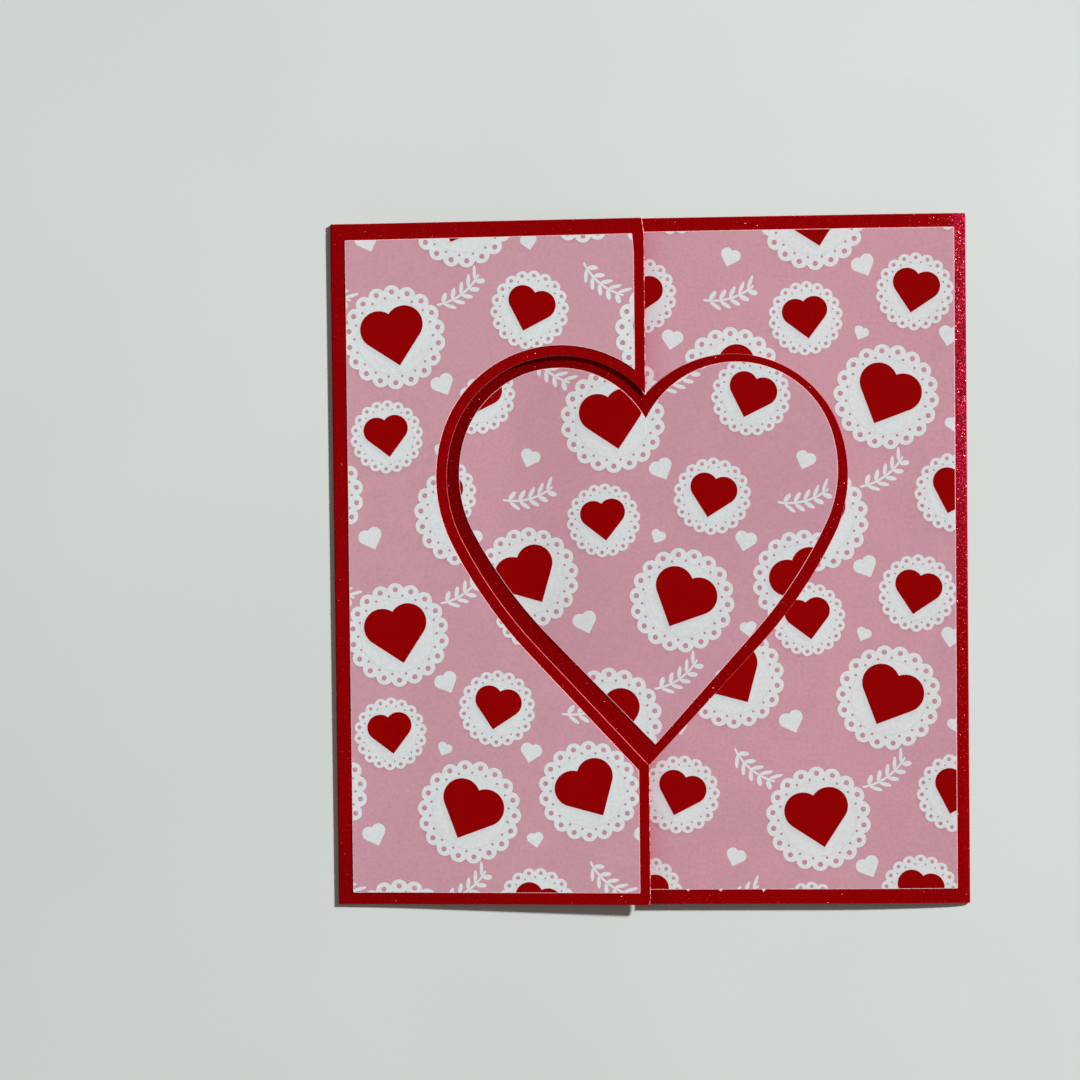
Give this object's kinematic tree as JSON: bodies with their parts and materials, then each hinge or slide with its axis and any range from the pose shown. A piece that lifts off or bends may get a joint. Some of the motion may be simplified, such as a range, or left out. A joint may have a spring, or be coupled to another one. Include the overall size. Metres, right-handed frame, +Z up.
{
  "type": "greeting card",
  "caption": "Gate-fold greeting card that lies closed: a half-heart window in its left flap fits round a papered heart glued on the right flap.",
  "frame": {"origin": "under the middle of the closed card, on the surface it lies on", "axes": "+X to the right as the card is read, +Y to its top edge, +Z up out of its front"},
  "size_m": [0.1524, 0.165, 0.0027],
  "materials": {
    "red_card": "pearl cover stock with a fine glitter",
    "printed_paper": "matte printed paper"
  },
  "bodies": {
    "root": {"card_base": "red_card", "left_flap_paper": "printed_paper", "right_flap_paper": "printed_paper", "heart_mat": "red_card", "heart_paper": "printed_paper"}
  },
  "joints": []
}
